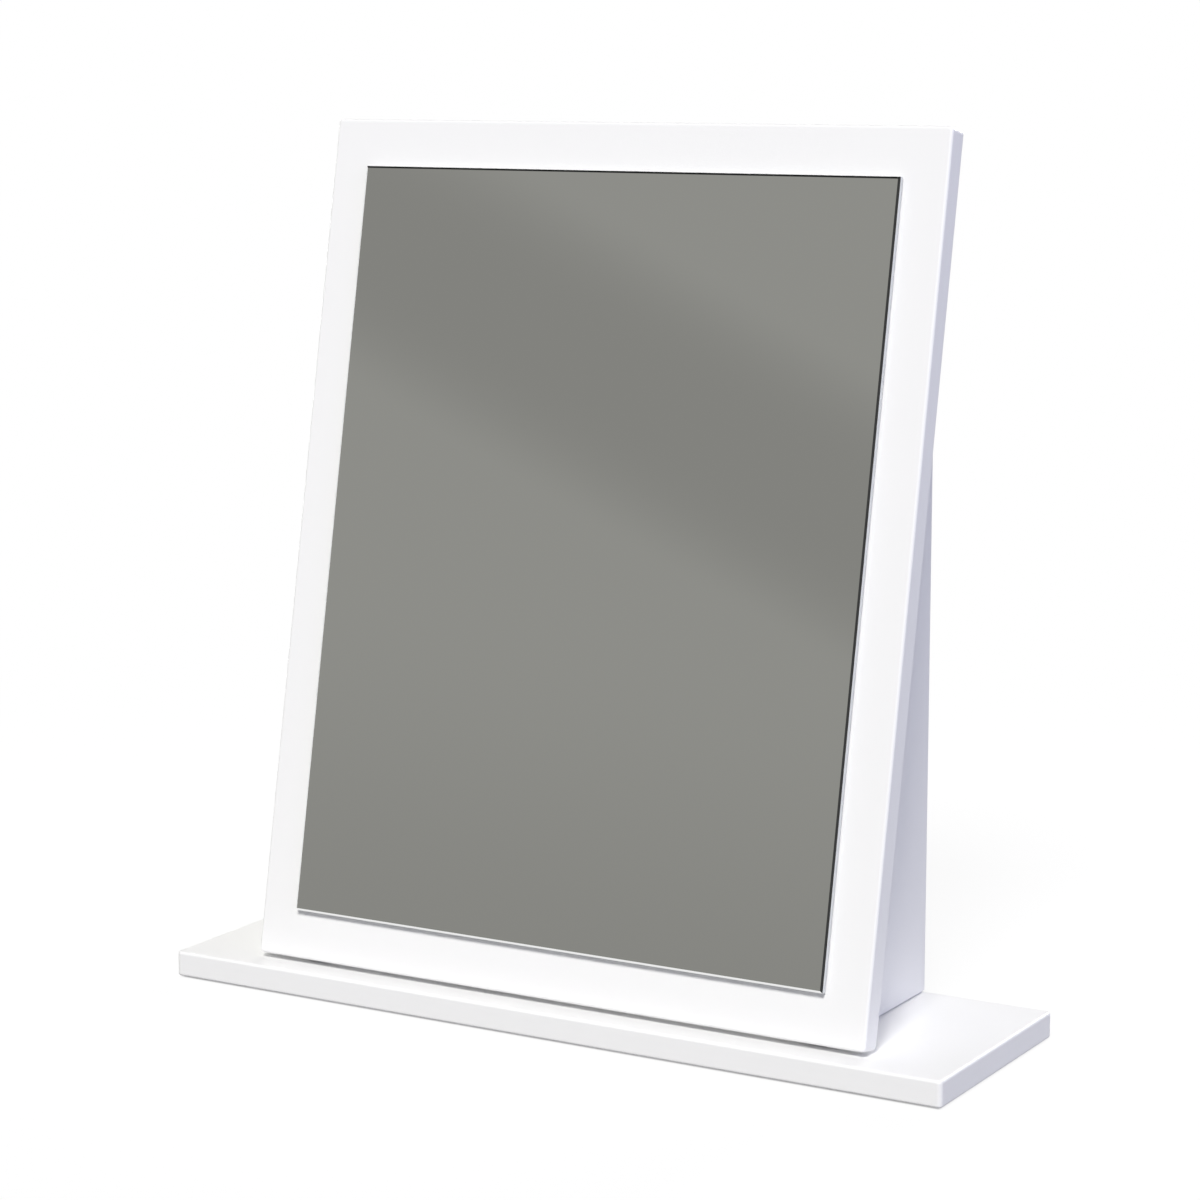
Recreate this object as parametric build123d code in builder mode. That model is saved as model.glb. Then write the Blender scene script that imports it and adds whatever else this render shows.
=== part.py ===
from build123d import *
import os
from math import cos, radians, sin, tan

# A dressing-table mirror: a glass bonded to a leaning panel, which two gussets hold on a base board.
# Millimetres, +Z up, +Y to the back. The origin is on the floor, under the middle of the base.

# Laminated boards and their plastic edging
board_thickness = 16.0
edging_thickness = 2.0
edge_round = 1.8
corner_round = 3.0

# Panel: its height is measured along the lean, and its heel is its lower rear edge
panel_width = 420.0
panel_height = 524.0
lean_degrees = 11.0
heel_setback = 30.0
panel_lift = 0.8

# Base: the overhang is what stands out past each side of the panel
base_overhang = 54.0
base_depth = 156.0

# Gussets: set in from the panel's side edge to their outer face, and down from the panel's top.
# The sawn foot is eased within the rear edging, so that a fine shadow line shows on the base.
gusset_inset = 28.0
gusset_drop = 112.0
foot_ease_share = 0.9
foot_ease_height = 1.2

# Mirror: the margins are the white panel that shows at its sides and at its ends
glass_side_margin = 27.5
glass_end_margin = 30.0
glass_thickness = 4.0
bevel_width = 1.3
bevel_depth = 0.9
film_thickness = 0.2
film_inset = 1.5
tape_thickness = 0.8
tape_width = 20.0
tape_end_gap = 25.0
tape_spread_share = 0.34

# Countersunk board screws with a hexagon socket
screw_length = 40.0
screw_radius = 3.5
screw_core_radius = 2.4
screw_head_radius = 5.0
screw_tip_length = 4.0
screw_tip_radius = 1.2
thread_pitch = 3.0
socket_width = 4.0
socket_depth = 2.5
countersink_degrees = 90.0

# Dowels: the skin is the board left behind the end of a dowel's hole
dowel_radius = 4.0
dowel_length = 30.0
dowel_chamfer = 1.0
dowel_skin = 4.0
dowel_end_room = 0.5

# Places of the fixings, as shares of a gusset's foot from its front and of its front edge from its foot
base_screw_shares = (0.3, 0.84)
base_dowel_shares = (0.48, 0.66)
panel_screw_shares = (0.15, 0.45, 0.75)
panel_dowel_shares = (0.3, 0.6, 0.9)

# Foot pads: the insets are from the base's edges to a pad's middle
pad_radius = 10.0
pad_thickness = 1.0
pad_side_inset = 25.0
pad_end_inset = 20.0

# Fits
fit_clearance = 0.1
overrun = 6.0

# Heights and planes that the pieces share
sides = {"left": -1, "right": 1}
lean = radians(lean_degrees)
base_width = panel_width + 2 * base_overhang
base_top = pad_thickness + board_thickness
base_front = -base_depth / 2
base_rear = base_depth / 2
heel_y = base_front + heel_setback
heel_z = base_top + panel_lift
gusset_top = heel_z + panel_height * cos(lean) - gusset_drop
gusset_height = gusset_top - base_top
gusset_middle = panel_width / 2 - gusset_inset - board_thickness / 2
foot_ease_depth = foot_ease_share * edging_thickness
glass_width = panel_width - 2 * glass_side_margin
glass_height = panel_height - 2 * glass_end_margin
base_plane = Plane(origin=(0, base_front, pad_thickness))
panel_plane = Plane(origin=(0, heel_y, heel_z), x_dir=(1, 0, 0), z_dir=(0, -cos(lean), sin(lean)))


def panel_rear(height):
    """How far back the panel's rear face is at a height above the floor."""
    return heel_y + (height - heel_z) * tan(lean)


def facing(places, direction):
    """Planes at the places, all facing one way."""
    return [Plane(origin=place, x_dir=(1, 0, 0), z_dir=direction) for place in places]


def foot_places(shares, height):
    """Places along the feet of both gussets, at a height."""
    front = panel_rear(base_top)
    depths = [front + share * (base_rear - front) for share in shares]
    return [(side * gusset_middle, depth, height) for side in sides.values() for depth in depths]


def panel_places(shares, out):
    """Places on the panel in front of both gussets, a distance out from its rear face."""
    heights = [base_top + share * gusset_height for share in shares]
    rises = [(height - heel_z) / cos(lean) for height in heights]
    spots = [(side * gusset_middle, rise, out) for side in sides.values() for rise in rises]
    return [panel_plane.from_local_coords(spot) for spot in spots]


base_screw_seats = facing(foot_places(base_screw_shares, pad_thickness), (0, 0, -1))
base_dowel_seats = facing(foot_places(base_dowel_shares, base_top), (0, 0, -1))
panel_screw_seats = facing(panel_places(panel_screw_shares, board_thickness), panel_plane.z_dir)
panel_dowel_seats = facing(panel_places(panel_dowel_shares, 0), panel_plane.z_dir)
dowel_bite = board_thickness - dowel_skin


def keep(piece, label):
    """Name a finished piece and write it."""
    piece.part.label = label
    export_step(piece.part, f"parts/{label}.step")


def rounded_board(plane, width, height):
    """A whole board standing on its plane's X axis, with rounded corners and edges."""
    with BuildPart() as board:
        with BuildSketch(plane):
            RectangleRounded(width, height, corner_round, align=(Align.CENTER, Align.MIN))
        extrude(amount=board_thickness)
        fillet(board.faces().filter_by(plane).edges(), edge_round)
    return board


def sawn(board, plane, outline):
    """The part of a rounded board that lies inside an outline on its plane."""
    with BuildPart() as piece:
        add(board.part)
        with BuildSketch(plane):
            with BuildLine():
                Polyline(*outline, close=True)
            make_face()
        extrude(amount=board_thickness + overrun, both=True, mode=Mode.INTERSECT)
    return piece


def rectangle(left, right, low, high):
    """The four corners of an upright rectangle."""
    return [(left, low), (right, low), (right, high), (left, high)]


def edged_board(plane, width, height):
    """A rounded board sawn into its core and the edgings at its low, high, left and right edges."""
    board = rounded_board(plane, width, height)
    core_side = width / 2 - edging_thickness
    core_high = height - edging_thickness
    far_side = width / 2 + overrun
    far_high = height + overrun
    core = sawn(board, plane, rectangle(-core_side, core_side, edging_thickness, core_high))
    edgings = {
        "low": sawn(board, plane, rectangle(-far_side, far_side, -overrun, edging_thickness)),
        "high": sawn(board, plane, rectangle(-far_side, far_side, core_high, far_high)),
        "left": sawn(board, plane, rectangle(-far_side, -core_side, edging_thickness, core_high)),
        "right": sawn(board, plane, rectangle(core_side, far_side, edging_thickness, core_high)),
    }
    return core, edgings


os.makedirs("parts", exist_ok=True)

# Base board, drilled for the screws from below and the dowels from above
base_core, base_edgings = edged_board(base_plane, base_width, base_depth)
with BuildPart() as base_board:
    add(base_core.part)
    with Locations(*base_screw_seats):
        CounterSinkHole(
            screw_radius + fit_clearance,
            screw_head_radius + fit_clearance,
            counter_sink_angle=countersink_degrees,
        )
    with Locations(*base_dowel_seats):
        Hole(dowel_radius + fit_clearance, depth=dowel_bite + dowel_end_room)
keep(base_board, "base_board")
for edge, name in {"low": "front", "high": "rear", "left": "left", "right": "right"}.items():
    keep(base_edgings[edge], f"base_edging_{name}")

# Panel board, drilled for the screws from the front and the dowels from the rear
panel_core, panel_edgings = edged_board(panel_plane, panel_width, panel_height)
with BuildPart() as panel_board:
    add(panel_core.part)
    with Locations(*panel_screw_seats):
        CounterSinkHole(
            screw_radius + fit_clearance,
            screw_head_radius + fit_clearance,
            counter_sink_angle=countersink_degrees,
        )
    with Locations(*panel_dowel_seats):
        Hole(dowel_radius + fit_clearance, depth=dowel_bite + dowel_end_room)
keep(panel_board, "panel_board")
for edge, name in {"low": "bottom", "high": "top", "left": "left", "right": "right"}.items():
    keep(panel_edgings[edge], f"panel_edging_{name}")


def gusset(side, name):
    """One gusset: a core that butts against the panel and the base, with edgings at its rear and top."""
    inner_face = side * gusset_middle - board_thickness / 2
    plane = Plane.YZ.offset(inner_face)
    core_rear = base_rear - edging_thickness
    core_top = gusset_top - edging_thickness
    far_rear = base_rear + overrun
    far_top = gusset_top + overrun
    blank_front = panel_rear(base_top) - overrun
    blank_low = base_top - overrun
    blank_plane = Plane(
        origin=(inner_face, (blank_front + base_rear) / 2, blank_low), x_dir=(0, 1, 0), z_dir=(1, 0, 0)
    )
    blank = rounded_board(blank_plane, base_rear - blank_front, gusset_top - blank_low)
    core_outline = [
        (panel_rear(base_top), base_top),
        (core_rear, base_top),
        (core_rear, core_top),
        (panel_rear(core_top), core_top),
    ]
    top_outline = [
        (panel_rear(core_top), core_top),
        (core_rear, core_top),
        (core_rear, far_top),
        (panel_rear(far_top), far_top),
    ]
    core = sawn(blank, plane, core_outline)
    with BuildPart() as board:
        add(core.part)
        foot = board.faces().sort_by(Axis.Z).first
        chamfer(foot.edges().filter_by(Axis.Y), foot_ease_depth, foot_ease_height, reference=foot)
        with Locations(*base_screw_seats, *panel_screw_seats):
            Hole(screw_radius + fit_clearance, depth=screw_length + fit_clearance)
        with Locations(*base_dowel_seats, *panel_dowel_seats):
            Hole(dowel_radius + fit_clearance, depth=dowel_length - dowel_bite + dowel_end_room)
    keep(board, f"gusset_board_{name}")
    strip = sawn(blank, plane, rectangle(core_rear, far_rear, base_top, far_top))
    with BuildPart() as rear_edging:
        add(strip.part)
        foot = rear_edging.faces().sort_by(Axis.Z).first
        chamfer(foot.edges().sort_by(Axis.Y)[1:], foot_ease_depth, foot_ease_height, reference=foot)
    keep(rear_edging, f"gusset_edging_rear_{name}")
    keep(sawn(blank, plane, top_outline), f"gusset_edging_top_{name}")


for side_name, side_sign in sides.items():
    gusset(side_sign, side_name)

# Mirror: tape on the panel, film on the tape, glass on the film
film_out = board_thickness + tape_thickness
glass_out = film_out + film_thickness
with BuildPart() as mirror_glass:
    with BuildSketch(panel_plane.offset(glass_out)):
        with Locations((0, panel_height / 2)):
            Rectangle(glass_width, glass_height)
    extrude(amount=glass_thickness)
    glass_front = mirror_glass.faces().filter_by(panel_plane).sort_by(Axis.Y).first
    chamfer(glass_front.edges(), bevel_width, bevel_depth, reference=glass_front)
keep(mirror_glass, "mirror_glass")

with BuildPart() as mirror_film:
    with BuildSketch(panel_plane.offset(film_out)):
        with Locations((0, panel_height / 2)):
            Rectangle(glass_width - 2 * film_inset, glass_height - 2 * film_inset)
    extrude(amount=film_thickness)
keep(mirror_film, "mirror_film")

for column, name in enumerate(("left", "centre", "right"), start=-1):
    with BuildPart() as tape:
        with BuildSketch(panel_plane.offset(board_thickness)):
            with Locations((column * tape_spread_share * glass_width, panel_height / 2)):
                Rectangle(tape_width, glass_height - 2 * tape_end_gap)
        extrude(amount=tape_thickness)
    keep(tape, f"mirror_tape_{name}")


def screw_outline():
    """Half of a screw's section, from the middle of its head down to its tip."""
    points = [(0, 0), (screw_head_radius, 0)]
    head_depth = (screw_head_radius - screw_radius) / tan(radians(countersink_degrees / 2))
    points.append((screw_radius, -head_depth))
    points.append((screw_radius, -board_thickness))
    points.append((screw_core_radius, -board_thickness))
    turns = int((screw_length - board_thickness - screw_tip_length) / thread_pitch)
    for turn in range(turns):
        root = -board_thickness - (turn + 1) * thread_pitch
        points.append((screw_radius, root + thread_pitch / 2))
        points.append((screw_core_radius, root))
    points.append((screw_tip_radius, -screw_length))
    points.append((0, -screw_length))
    return points


# One screw under its seat, then a group of copies for each joint
with BuildPart() as screw:
    with BuildSketch(Plane.XZ):
        with BuildLine():
            Polyline(*screw_outline(), close=True)
        make_face()
    revolve(axis=Axis.Z)
    with BuildSketch(Plane.XY):
        RegularPolygon(socket_width / 2, side_count=6, major_radius=False)
    extrude(amount=-socket_depth, mode=Mode.SUBTRACT)

for name, seats in {"base_screws": base_screw_seats, "panel_screws": panel_screw_seats}.items():
    with BuildPart() as screws:
        with Locations(*seats):
            add(screw.part)
    keep(screws, name)

# One dowel across its joint, then a group of copies for each joint
with BuildPart() as dowel:
    with BuildSketch(Plane.XY.offset(dowel_bite)):
        Circle(dowel_radius)
    extrude(amount=-dowel_length)
    chamfer(dowel.faces().filter_by(Axis.Z).edges(), dowel_chamfer)

for name, seats in {"base_dowels": base_dowel_seats, "panel_dowels": panel_dowel_seats}.items():
    with BuildPart() as dowels:
        with Locations(*seats):
            add(dowel.part)
    keep(dowels, name)

# Foot pads under the corners of the base
pad_side = base_width / 2 - pad_side_inset
pad_end = base_depth / 2 - pad_end_inset
for side_name, side_sign in sides.items():
    for end_name, end_sign in {"front": -1, "rear": 1}.items():
        with BuildPart() as pad:
            with BuildSketch(Plane.XY):
                with Locations((side_sign * pad_side, end_sign * pad_end)):
                    Circle(pad_radius)
            extrude(amount=pad_thickness)
        keep(pad, f"foot_pad_{end_name}_{side_name}")
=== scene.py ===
"""Finishes for a leaning dressing-table mirror, with a white stage, soft light and a camera."""

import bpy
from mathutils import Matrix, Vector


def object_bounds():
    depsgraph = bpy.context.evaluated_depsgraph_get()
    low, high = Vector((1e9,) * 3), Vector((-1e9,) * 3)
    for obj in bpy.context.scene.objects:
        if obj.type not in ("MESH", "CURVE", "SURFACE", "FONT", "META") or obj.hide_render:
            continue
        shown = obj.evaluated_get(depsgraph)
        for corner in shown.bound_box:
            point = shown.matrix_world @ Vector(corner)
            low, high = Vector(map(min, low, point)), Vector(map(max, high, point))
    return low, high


bl_info = {
    "name": "Dressing-table mirror",
    "version": (1, 0, 0),
    "blender": (4, 5, 0),
    "location": "3D View > Sidebar > Mirror",
    "description": "Finishes the pieces of a leaning dressing-table mirror and sets its stage",
    "category": "Object",
}

from math import radians

import bpy
from mathutils import Vector

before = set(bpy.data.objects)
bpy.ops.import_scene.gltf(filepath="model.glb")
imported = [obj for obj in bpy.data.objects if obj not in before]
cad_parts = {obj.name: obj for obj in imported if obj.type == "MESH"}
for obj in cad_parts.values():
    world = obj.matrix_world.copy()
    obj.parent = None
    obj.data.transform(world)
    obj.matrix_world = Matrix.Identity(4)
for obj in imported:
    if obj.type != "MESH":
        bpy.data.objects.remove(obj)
cad_low, cad_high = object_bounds()


def mirror_facing():
    """The way the mirror faces: the normal of its largest face, turned to the front."""
    normal = max(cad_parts["mirror_glass"].data.polygons, key=lambda face: face.area).normal.copy()
    return normal if normal.y < 0 else -normal


# Directions
ACROSS = Vector((1.0, 0.0, 0.0))
BACK = Vector((0.0, 1.0, 0.0))
UP = Vector((0.0, 0.0, 1.0))
FACING = mirror_facing()
PANEL_RISE = FACING.cross(ACROSS)

# Pieces by finish. Edgings and dowels are grouped by the way they run.
SIDES = ("left", "right")
BOARDS = ("base_board", "panel_board", *(f"gusset_board_{side}" for side in SIDES))
EDGING_RUNS = (
    (ACROSS, ("base_edging_front", "base_edging_rear", "panel_edging_top", "panel_edging_bottom")),
    (BACK, tuple(f"{piece}_{side}" for piece in ("base_edging", "gusset_edging_top") for side in SIDES)),
    (UP, tuple(f"gusset_edging_rear_{side}" for side in SIDES)),
    (PANEL_RISE, tuple(f"panel_edging_{side}" for side in SIDES)),
)
GLASS = ("mirror_glass",)
FILM = ("mirror_film",)
TAPES = tuple(f"mirror_tape_{place}" for place in ("left", "centre", "right"))
SCREWS = ("base_screws", "panel_screws")
DOWEL_RUNS = ((UP, ("base_dowels",)), (FACING, ("panel_dowels",)))
PADS = tuple(f"foot_pad_{end}_{side}" for end in ("front", "rear") for side in SIDES)

# Share of the length along a run that is taken out of a place, so that noise lies in streaks
STREAK_SHARE = 0.97

# Laminate and edging: a pair is the roughness at a pattern's 0 and at its 1
CLOUD_SHARE = 0.7
LAMINATE_ROUGHNESS = (0.32, 0.38)
PORE_ROUGHNESS = 0.1
EDGING_ROUGHNESS = (0.40, 0.54)

# Glass: the silver begins where a face turns this far to the front, as a cosine
SILVER_LIMITS = (0.4, 0.5)
SMEAR_ROUGHNESS = 0.01
GROUND_ROUGHNESS = 0.3
GRIND_ROUGHNESS = 0.2

# Smaller finishes: the share of its colour that a pattern darkens to, and the roughness at its 0 and its 1
FILM_SHADE_SHARE = 0.85
FILM_ROUGHNESS = (0.5, 0.7)
TAPE_SHADE_SHARE = 0.8
TAPE_ROUGHNESS = (0.8, 0.9)
ZINC_SHADE_SHARE = 0.8
ZINC_ROUGHNESS = (0.28, 0.48)
BEECH_SHADE_SHARE = 0.7
BEECH_ROUGHNESS = (0.6, 0.8)
PAD_SHADE_SHARE = 0.8
PAD_ROUGHNESS = (0.8, 0.95)

# Floor: it fades to plain white between two distances, and loses its glow just inside the base's outline
FLOOR_WHITE = (1.0, 1.0, 1.0, 1.0)
FLOOR_BOUNCE = (0.3, 0.3, 0.3, 1.0)
FLOOR_FADE = (0.4, 1.2)
UNDER_BASE_LIMITS = (-0.006, -0.001)

# Surroundings that the mirror shows: limits are of a direction's part along UP or along the axis named
SURROUND_GREY = (0.297, 0.296, 0.277, 1.0)
BAND_SHADE = (0.249, 0.248, 0.232, 1.0)
BAND_AXIS = (0.316, -0.105, 0.943)
BAND_MIDDLE = 0.147
# Squared, because the band fades alike on both sides of its middle
BAND_LIMITS = (0.0, 0.0018)
LOW_GREY = (0.264, 0.263, 0.246, 1.0)
LOW_LIMITS = (0.155, 0.045)
OVERHEAD_GREY = (0.02, 0.02, 0.02, 1.0)
OVERHEAD_LIMITS = (0.40, 0.70)
CORNER_GREY = (0.05, 0.05, 0.05, 1.0)
CORNER_AXIS = (0.645, -0.737, 0.202)
CORNER_LIMITS = (0.80, 0.93)

# Soft light: where it turns cool to the right, and where it turns to the overhead light
COOL_LIMITS = (0.1, 1.0)
ZENITH_LIMITS = (0.2, 1.0)

# Lamps: each one's turn to the right of the front and its rise, in degrees
LAMPS = {"key": (17.0, 46.5), "back": (180.0, 16.0), "left": (235.0, 3.0)}
LAMP_SPREAD = radians(16.0)
LAMP_COLOUR = (1.0, 0.99, 0.96)

# A lamp or camera looks straight down until it is turned level. The frame's width is in millimetres.
LEVEL = radians(90.0)
FRAME_WIDTH = 36.0


class Wire:
    """A shader socket. Arithmetic on it adds Math nodes to its tree."""

    def __init__(self, tree, socket=None):
        self.tree = tree
        self.socket = socket

    def node(self, kind, settings=None, values=None, output=0):
        """Add any node: its settings first, then a value or a wire for each named or numbered socket."""
        made = self.tree.nodes.new(kind)
        for name, setting in (settings or {}).items():
            setattr(made, name, setting)
        for name, value in (values or {}).items():
            if isinstance(value, Wire):
                self.tree.links.new(value.socket, made.inputs[name])
            else:
                made.inputs[name].default_value = value
        return Wire(self.tree, made.outputs[output] if len(made.outputs) else None)

    def maths(self, operation, first, second):
        """One Math node on two values or wires."""
        return self.node("ShaderNodeMath", {"operation": operation}, {0: first, 1: second})

    def __add__(self, other):
        return self.maths("ADD", self, other)

    def __radd__(self, other):
        return self.maths("ADD", other, self)

    def __sub__(self, other):
        return self.maths("SUBTRACT", self, other)

    def __rsub__(self, other):
        return self.maths("SUBTRACT", other, self)

    def __mul__(self, other):
        return self.maths("MULTIPLY", self, other)

    def __rmul__(self, other):
        return self.maths("MULTIPLY", other, self)

    def dot(self, direction):
        """How far this vector reaches along a direction."""
        return self.node(
            "ShaderNodeVectorMath", {"operation": "DOT_PRODUCT"}, {0: self, 1: direction}, "Value"
        )

    def drawn_out(self, run):
        """A place with most of its length along a run taken out, so that noise lies in streaks that way."""
        length = STREAK_SHARE * self.dot(run)
        taken = self.node("ShaderNodeVectorMath", {"operation": "SCALE"}, {0: run, "Scale": length})
        return self.node("ShaderNodeVectorMath", {"operation": "SUBTRACT"}, {0: self, 1: taken})

    def soft_step(self, low, high):
        """A smooth rise from 0 to 1 as this wire goes from low to high."""
        return self.node(
            "ShaderNodeMapRange",
            {"interpolation_type": "SMOOTHSTEP"},
            {"Value": self, "From Min": low, "From Max": high},
        )

    def ranged(self, low, high):
        """A value from low to high as this wire goes from 0 to 1."""
        return low + (high - low) * self

    def between(self, first, second):
        """A colour from first to second as this wire goes from 0 to 1."""
        # A Mix node takes its two colours at sockets 6 and 7 and gives one at output 2.
        return self.node("ShaderNodeMix", {"data_type": "RGBA"}, {0: self, 6: first, 7: second}, 2)

    def noise(self, feature, detail=3.0):
        """Noise from 0 to 1 whose features are about this many metres across."""
        return self.node(
            "ShaderNodeTexNoise", None, {"Vector": self, "Scale": 1.0 / feature, "Detail": detail}
        )

    def bump(self, depth):
        """A normal from this wire as a height, with a depth in metres."""
        values = {"Height": self, "Distance": depth, "Strength": 1.0}
        return self.node("ShaderNodeBump", None, values, "Normal")

    def ray(self, kind):
        """1 for rays of one kind, such as Camera, and 0 for the rest."""
        return self.node("ShaderNodeLightPath", output=f"Is {kind} Ray")


def opaque(colour):
    """A colour property with its alpha, as a shader socket takes it."""
    return (*colour, 1.0)


def new_finish(name):
    """An empty material, and a wire with the place on its surface in metres."""
    material = bpy.data.materials.new(name)
    material.use_nodes = True
    material.node_tree.nodes.clear()
    place = Wire(material.node_tree).node("ShaderNodeTexCoord", output="Object")
    return material, place


def close_finish(names, material, values):
    """End a material in one Principled shader, and give it to these pieces through their slots."""
    start = Wire(material.node_tree)
    shader = start.node("ShaderNodeBsdfPrincipled", None, values)
    start.node("ShaderNodeOutputMaterial", None, {"Surface": shader})
    for name in names:
        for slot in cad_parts[name].material_slots:
            slot.material = material


def patterned(pattern, colour, shade_share, roughness):
    """Shader values of a finish whose colour and roughness follow one pattern."""
    return {
        "Base Color": pattern.between(opaque(colour), opaque(colour * shade_share)),
        "Roughness": pattern.ranged(*roughness),
    }


class BoardLook(bpy.types.PropertyGroup):
    """White laminated board and its plastic edging."""

    white: bpy.props.FloatVectorProperty(
        name="Board white", description="Colour of the board's laminate", subtype="COLOR",
        default=(0.90, 0.90, 0.90), min=0.0, max=1.0,
    )
    shade: bpy.props.FloatVectorProperty(
        name="Board shade", description="The laminate's slightly darker mottling", subtype="COLOR",
        default=(0.885, 0.885, 0.885), min=0.0, max=1.0,
    )
    edging: bpy.props.FloatVectorProperty(
        name="Edging white", description="Colour of the edging strips", subtype="COLOR",
        default=(0.90, 0.90, 0.90), min=0.0, max=1.0,
    )
    cloud: bpy.props.FloatProperty(
        name="Cloud", description="Size of the laminate's soft mottling", default=0.05, min=0.001,
        unit="LENGTH",
    )
    pore: bpy.props.FloatProperty(
        name="Pore", description="Size of the laminate's pores", default=0.0009, min=0.0001, unit="LENGTH",
    )
    pore_depth: bpy.props.FloatProperty(
        name="Pore depth", description="Depth of the pores", default=0.000012, min=0.0, unit="LENGTH",
    )
    streak: bpy.props.FloatProperty(
        name="Streak", description="Width of the edging's drawn streaks", default=0.0006, min=0.0001,
        unit="LENGTH",
    )


class MirrorLook(bpy.types.PropertyGroup):
    """Mirror glass and what holds it."""

    silver: bpy.props.FloatVectorProperty(
        name="Silver", description="Tint of the reflection", subtype="COLOR",
        default=(0.90, 0.905, 0.90), min=0.0, max=1.0,
    )
    ground_edge: bpy.props.FloatVectorProperty(
        name="Ground edge", description="Colour of the glass's ground sides", subtype="COLOR",
        default=(0.72, 0.74, 0.74), min=0.0, max=1.0,
    )
    grind: bpy.props.FloatProperty(
        name="Grind", description="Width of the marks on the ground sides", default=0.0004, min=0.0001,
        unit="LENGTH",
    )
    grind_depth: bpy.props.FloatProperty(
        name="Grind depth", description="Depth of the marks on the ground sides", default=0.00002, min=0.0,
        unit="LENGTH",
    )
    smear: bpy.props.FloatProperty(
        name="Smear", description="Size of the faint smears left by wiping", default=0.04, min=0.001,
        unit="LENGTH",
    )
    film: bpy.props.FloatVectorProperty(
        name="Backing film", description="Colour of the film behind the glass", subtype="COLOR",
        default=(0.20, 0.21, 0.22), min=0.0, max=1.0,
    )
    film_mottling: bpy.props.FloatProperty(
        name="Film mottling", description="Size of the film's mottling", default=0.002, min=0.0001,
        unit="LENGTH",
    )
    tape: bpy.props.FloatVectorProperty(
        name="Foam tape", description="Colour of the foam tape", subtype="COLOR",
        default=(0.75, 0.75, 0.73), min=0.0, max=1.0,
    )
    tape_cell: bpy.props.FloatProperty(
        name="Tape cell", description="Size of the foam tape's cells", default=0.0004, min=0.0001,
        unit="LENGTH",
    )
    tape_depth: bpy.props.FloatProperty(
        name="Tape depth", description="Depth of the foam tape's cells", default=0.0001, min=0.0,
        unit="LENGTH",
    )


class FixingLook(bpy.types.PropertyGroup):
    """Screws, dowels and foot pads."""

    zinc: bpy.props.FloatVectorProperty(
        name="Zinc", description="Colour of the plated screws", subtype="COLOR",
        default=(0.62, 0.63, 0.66), min=0.0, max=1.0,
    )
    spangle: bpy.props.FloatProperty(
        name="Spangle", description="Size of the plating's spangle", default=0.0012, min=0.0001,
        unit="LENGTH",
    )
    beech: bpy.props.FloatVectorProperty(
        name="Beech", description="Colour of the dowels", subtype="COLOR",
        default=(0.60, 0.40, 0.22), min=0.0, max=1.0,
    )
    grain: bpy.props.FloatProperty(
        name="Grain", description="Width of the dowels' grain", default=0.0008, min=0.0001, unit="LENGTH",
    )
    grain_depth: bpy.props.FloatProperty(
        name="Grain depth", description="Depth of the dowels' grain", default=0.0001, min=0.0,
        unit="LENGTH",
    )
    pad: bpy.props.FloatVectorProperty(
        name="Foot pad", description="Colour of the foot pads", subtype="COLOR",
        default=(0.80, 0.80, 0.79), min=0.0, max=1.0,
    )
    pad_cell: bpy.props.FloatProperty(
        name="Pad cell", description="Size of the foot pads' cells", default=0.0006, min=0.0001,
        unit="LENGTH",
    )
    pad_depth: bpy.props.FloatProperty(
        name="Pad depth", description="Depth of the foot pads' cells", default=0.00015, min=0.0,
        unit="LENGTH",
    )


class StageLook(bpy.types.PropertyGroup):
    """Camera, floor and light."""

    camera_place: bpy.props.FloatVectorProperty(
        name="Camera place", description="Where the camera stands", subtype="TRANSLATION",
        default=(0.98248, -1.67003, 0.57799), unit="LENGTH",
    )
    camera_turn: bpy.props.FloatProperty(
        name="Camera turn", description="Turn to the left from looking straight back", subtype="ANGLE",
        default=radians(30.446),
    )
    camera_dip: bpy.props.FloatProperty(
        name="Camera dip", description="How far the camera looks down", subtype="ANGLE",
        default=radians(9.538),
    )
    camera_roll: bpy.props.FloatProperty(
        name="Camera roll", description="How far the camera leans to its right", subtype="ANGLE",
        default=radians(0.068),
    )
    lens: bpy.props.FloatProperty(
        name="Lens", description="Focal length in millimetres on a 36 mm frame", default=98.39, min=10.0,
        unit="CAMERA",
    )
    floor_size: bpy.props.FloatProperty(
        name="Floor size", description="Side of the square floor", default=5.0, min=1.0, unit="LENGTH",
    )
    floor_glow: bpy.props.FloatProperty(
        name="Floor glow", description="How much of the floor near the mirror is plain white, without shadow",
        default=0.90, min=0.0, max=1.0, subtype="FACTOR",
    )
    horizon: bpy.props.FloatVectorProperty(
        name="Horizon light", description="Soft light from low down", subtype="COLOR",
        default=(0.38, 0.38, 0.38), min=0.0,
    )
    zenith: bpy.props.FloatVectorProperty(
        name="Zenith light", description="Soft light from overhead", subtype="COLOR",
        default=(0.14, 0.14, 0.14), min=0.0,
    )
    cool: bpy.props.FloatVectorProperty(
        name="Cool light", description="Soft light from the right", subtype="COLOR",
        default=(0.78, 0.81, 1.16), min=0.0,
    )
    key_strength: bpy.props.FloatProperty(
        name="Key lamp", description="Strength of the broad lamp above the front", default=2.84, min=0.0,
    )
    back_strength: bpy.props.FloatProperty(
        name="Back lamp", description="Strength of the low lamp behind", default=1.5, min=0.0,
    )
    left_strength: bpy.props.FloatProperty(
        name="Left lamp", description="Strength of the low lamp at the rear left", default=1.0, min=0.0,
    )


class FinishOperator:
    """What every operator shares."""

    bl_options = {"REGISTER", "UNDO"}


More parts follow.
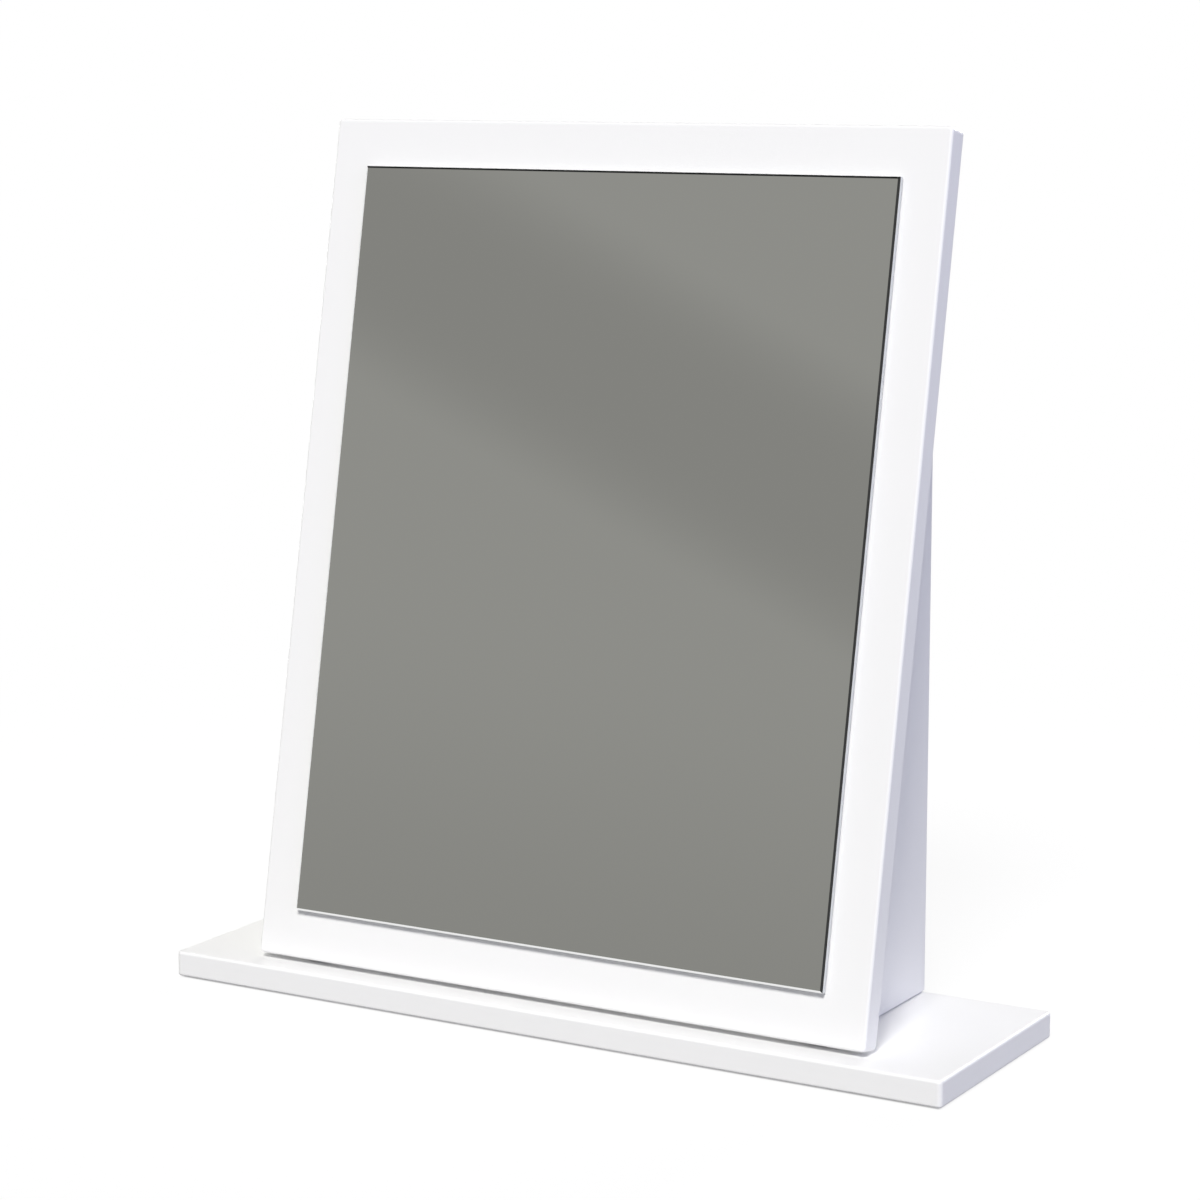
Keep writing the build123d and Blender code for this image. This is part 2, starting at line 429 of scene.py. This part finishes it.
class MIRROR_OT_boards(FinishOperator, bpy.types.Operator):
    """Give the base, panel and gussets their white laminate"""

    bl_idname = "mirror.boards"
    bl_label = "Boards"

    def execute(self, context):
        look = context.scene.mirror_boards
        material, place = new_finish("white_laminate")
        clouds = place.noise(look.cloud)
        pores = place.noise(look.pore)
        mottling = CLOUD_SHARE * clouds + (1.0 - CLOUD_SHARE) * pores
        close_finish(BOARDS, material, {
            "Base Color": mottling.between(opaque(look.white), opaque(look.shade)),
            "Roughness": clouds.ranged(*LAMINATE_ROUGHNESS) + PORE_ROUGHNESS * pores,
            "Normal": pores.bump(look.pore_depth),
        })
        return {"FINISHED"}


class MIRROR_OT_edgings(FinishOperator, bpy.types.Operator):
    """Give the edging strips their white plastic"""

    bl_idname = "mirror.edgings"
    bl_label = "Edgings"

    def execute(self, context):
        look = context.scene.mirror_boards
        for run, names in EDGING_RUNS:
            material, place = new_finish("white_edging")
            streaks = place.drawn_out(run).noise(look.streak)
            close_finish(names, material, {
                "Base Color": streaks.between(opaque(look.edging), opaque(look.shade)),
                "Roughness": streaks.ranged(*EDGING_ROUGHNESS),
                "Normal": streaks.bump(look.pore_depth),
            })
        return {"FINISHED"}


class MIRROR_OT_glass(FinishOperator, bpy.types.Operator):
    """Silver the face and bevel of the glass, and grind its sides"""

    bl_idname = "mirror.glass"
    bl_label = "Glass"

    def execute(self, context):
        look = context.scene.mirror_glass
        material, place = new_finish("mirror_glass")
        normal = place.node("ShaderNodeNewGeometry", output="Normal")
        silvered = normal.dot(FACING).soft_step(*SILVER_LIMITS)
        bare = 1.0 - silvered
        ground = bare * place.drawn_out(FACING).noise(look.grind)
        wiped = place.noise(look.smear, detail=4.0)
        close_finish(GLASS, material, {
            "Base Color": silvered.between(opaque(look.ground_edge), opaque(look.silver)),
            "Metallic": silvered,
            "Roughness": SMEAR_ROUGHNESS * wiped + GROUND_ROUGHNESS * bare + GRIND_ROUGHNESS * ground,
            "Normal": ground.bump(look.grind_depth),
        })
        return {"FINISHED"}


class MIRROR_OT_film(FinishOperator, bpy.types.Operator):
    """Finish the film on the back of the glass"""

    bl_idname = "mirror.film"
    bl_label = "Backing film"

    def execute(self, context):
        look = context.scene.mirror_glass
        material, place = new_finish("backing_film")
        mottling = place.noise(look.film_mottling, detail=2.0)
        close_finish(FILM, material, patterned(mottling, look.film, FILM_SHADE_SHARE, FILM_ROUGHNESS))
        return {"FINISHED"}


class MIRROR_OT_tapes(FinishOperator, bpy.types.Operator):
    """Finish the foam tape between the film and the panel"""

    bl_idname = "mirror.tapes"
    bl_label = "Foam tapes"

    def execute(self, context):
        look = context.scene.mirror_glass
        material, place = new_finish("foam_tape")
        cells = place.noise(look.tape_cell)
        close_finish(TAPES, material, {
            **patterned(cells, look.tape, TAPE_SHADE_SHARE, TAPE_ROUGHNESS),
            "Normal": cells.bump(look.tape_depth),
        })
        return {"FINISHED"}


class MIRROR_OT_screws(FinishOperator, bpy.types.Operator):
    """Plate the screws with zinc"""

    bl_idname = "mirror.screws"
    bl_label = "Screws"

    def execute(self, context):
        look = context.scene.mirror_fixings
        material, place = new_finish("zinc_steel")
        spangle = place.noise(look.spangle, detail=4.0)
        close_finish(SCREWS, material, {
            **patterned(spangle, look.zinc, ZINC_SHADE_SHARE, ZINC_ROUGHNESS),
            "Metallic": 1.0,
        })
        return {"FINISHED"}


class MIRROR_OT_dowels(FinishOperator, bpy.types.Operator):
    """Give the dowels their beech grain"""

    bl_idname = "mirror.dowels"
    bl_label = "Dowels"

    def execute(self, context):
        look = context.scene.mirror_fixings
        for run, names in DOWEL_RUNS:
            material, place = new_finish("beech")
            grain = place.drawn_out(run).noise(look.grain, detail=4.0)
            close_finish(names, material, {
                **patterned(grain, look.beech, BEECH_SHADE_SHARE, BEECH_ROUGHNESS),
                "Normal": grain.bump(look.grain_depth),
            })
        return {"FINISHED"}


class MIRROR_OT_pads(FinishOperator, bpy.types.Operator):
    """Finish the foot pads"""

    bl_idname = "mirror.pads"
    bl_label = "Foot pads"

    def execute(self, context):
        look = context.scene.mirror_fixings
        material, place = new_finish("foot_pad")
        cells = place.noise(look.pad_cell, detail=4.0)
        close_finish(PADS, material, {
            **patterned(cells, look.pad, PAD_SHADE_SHARE, PAD_ROUGHNESS),
            "Normal": cells.bump(look.pad_depth),
        })
        return {"FINISHED"}


def build_floor(look):
    """A white floor that keeps a faint shadow of the mirror."""
    half = look.floor_size / 2
    corners = [(-half, -half, 0.0), (half, -half, 0.0), (half, half, 0.0), (-half, half, 0.0)]
    mesh = bpy.data.meshes.new("floor")
    mesh.from_pydata(corners, [], [(0, 1, 2, 3)])
    floor = bpy.data.objects.new("floor", mesh)
    bpy.context.scene.collection.objects.link(floor)
    material, place = new_finish("white_floor")
    seen = place.ray("Camera")
    shown = seen + place.ray("Glossy") + place.ray("Transmission")
    away = place.node("ShaderNodeVectorMath", {"operation": "LENGTH"}, {0: place}, "Value")
    white_share = away.soft_step(*FLOOR_FADE).ranged(look.floor_glow, 1.0)
    aside = place.node("ShaderNodeVectorMath", {"operation": "ABSOLUTE"}, {0: place})
    past_side = aside.dot(ACROSS) - cad_high.x
    past_end = aside.dot(BACK) - cad_high.y
    clear = place.maths("MAXIMUM", past_side, past_end).soft_step(*UNDER_BASE_LIMITS)
    matt = place.node("ShaderNodeBsdfDiffuse", None, {"Color": seen.between(FLOOR_BOUNCE, FLOOR_WHITE)})
    glow = place.node("ShaderNodeEmission", None, {"Color": FLOOR_WHITE, "Strength": 1.0})
    shader = place.node("ShaderNodeMixShader", None, {0: shown * white_share * clear, 1: matt, 2: glow})
    place.node("ShaderNodeOutputMaterial", None, {"Surface": shader})
    mesh.materials.append(material)


def surround_colour(direction):
    """The grey that the mirror shows: a soft dark band across it, dark overhead and far to the right."""
    rise = direction.dot(UP)
    band = direction.dot(BAND_AXIS) - BAND_MIDDLE
    grey = (band * band).soft_step(*BAND_LIMITS).between(BAND_SHADE, SURROUND_GREY)
    low = rise.soft_step(*LOW_LIMITS).between(grey, LOW_GREY)
    overhead = rise.soft_step(*OVERHEAD_LIMITS).between(low, OVERHEAD_GREY)
    return direction.dot(CORNER_AXIS).soft_step(*CORNER_LIMITS).between(overhead, CORNER_GREY)


def build_world(look):
    """White for the camera, plain grey for reflections, and soft light for everything else."""
    world = bpy.data.worlds.new("studio")
    bpy.context.scene.world = world
    world.use_nodes = True
    world.node_tree.nodes.clear()
    direction = Wire(world.node_tree).node("ShaderNodeTexCoord", output="Generated")
    side = direction.dot(ACROSS).soft_step(*COOL_LIMITS).between(opaque(look.horizon), opaque(look.cool))
    soft = direction.dot(UP).soft_step(*ZENITH_LIMITS).between(side, opaque(look.zenith))
    unseen = direction.ray("Glossy").between(soft, surround_colour(direction))
    shown = direction.ray("Camera").between(unseen, FLOOR_WHITE)
    shader = direction.node("ShaderNodeBackground", None, {"Color": shown, "Strength": 1.0})
    direction.node("ShaderNodeOutputWorld", None, {"Surface": shader})


def add_lamp(name, turn, rise, strength):
    """A broad far lamp: turned to the right of the front, and raised."""
    data = bpy.data.lights.new(name, "SUN")
    data.angle = LAMP_SPREAD
    data.energy = strength
    data.color = LAMP_COLOUR
    lamp = bpy.data.objects.new(name, data)
    lamp.rotation_euler = (LEVEL - rise, 0.0, turn)
    bpy.context.scene.collection.objects.link(lamp)


def build_camera(look):
    """The camera at the photograph's viewing angle."""
    data = bpy.data.cameras.new("camera")
    data.lens = look.lens
    data.sensor_width = FRAME_WIDTH
    camera = bpy.data.objects.new("camera", data)
    camera.location = look.camera_place
    camera.rotation_euler = (LEVEL - look.camera_dip, look.camera_roll, look.camera_turn)
    bpy.context.scene.collection.objects.link(camera)
    bpy.context.scene.camera = camera


class MIRROR_OT_stage(FinishOperator, bpy.types.Operator):
    """Set the floor, the light and the camera"""

    bl_idname = "mirror.stage"
    bl_label = "Stage"

    def execute(self, context):
        look = context.scene.mirror_stage
        build_floor(look)
        build_world(look)
        for name, (turn, rise) in LAMPS.items():
            add_lamp(f"{name}_lamp", radians(turn), radians(rise), getattr(look, f"{name}_strength"))
        build_camera(look)
        context.scene.view_settings.view_transform = "Standard"
        return {"FINISHED"}


class MIRROR_PT_panel(bpy.types.Panel):
    """Lists the steps that finish the mirror, and the sizes and colours that they use"""

    bl_label = "Dressing-table mirror"
    bl_space_type = "VIEW_3D"
    bl_region_type = "UI"
    bl_category = "Mirror"

    def draw(self, context):
        for step in STEPS:
            self.layout.operator(step.bl_idname)
        for name, look in LOOKS.items():
            box = self.layout.box()
            for value in look.__annotations__:
                box.prop(getattr(context.scene, name), value)


STEPS = (
    MIRROR_OT_boards,
    MIRROR_OT_edgings,
    MIRROR_OT_glass,
    MIRROR_OT_film,
    MIRROR_OT_tapes,
    MIRROR_OT_screws,
    MIRROR_OT_dowels,
    MIRROR_OT_pads,
    MIRROR_OT_stage,
)
LOOKS = {
    "mirror_boards": BoardLook,
    "mirror_glass": MirrorLook,
    "mirror_fixings": FixingLook,
    "mirror_stage": StageLook,
}


def register():
    for name, look in LOOKS.items():
        bpy.utils.register_class(look)
        setattr(bpy.types.Scene, name, bpy.props.PointerProperty(type=look))
    for cls in (*STEPS, MIRROR_PT_panel):
        bpy.utils.register_class(cls)


def unregister():
    for cls in (MIRROR_PT_panel, *reversed(STEPS)):
        bpy.utils.unregister_class(cls)
    for name, look in LOOKS.items():
        delattr(bpy.types.Scene, name)
        bpy.utils.unregister_class(look)


def main():
    register()
    for step in STEPS:
        group, name = step.bl_idname.split(".")
        getattr(getattr(bpy.ops, group), name)()


if __name__ == "__main__":
    main()
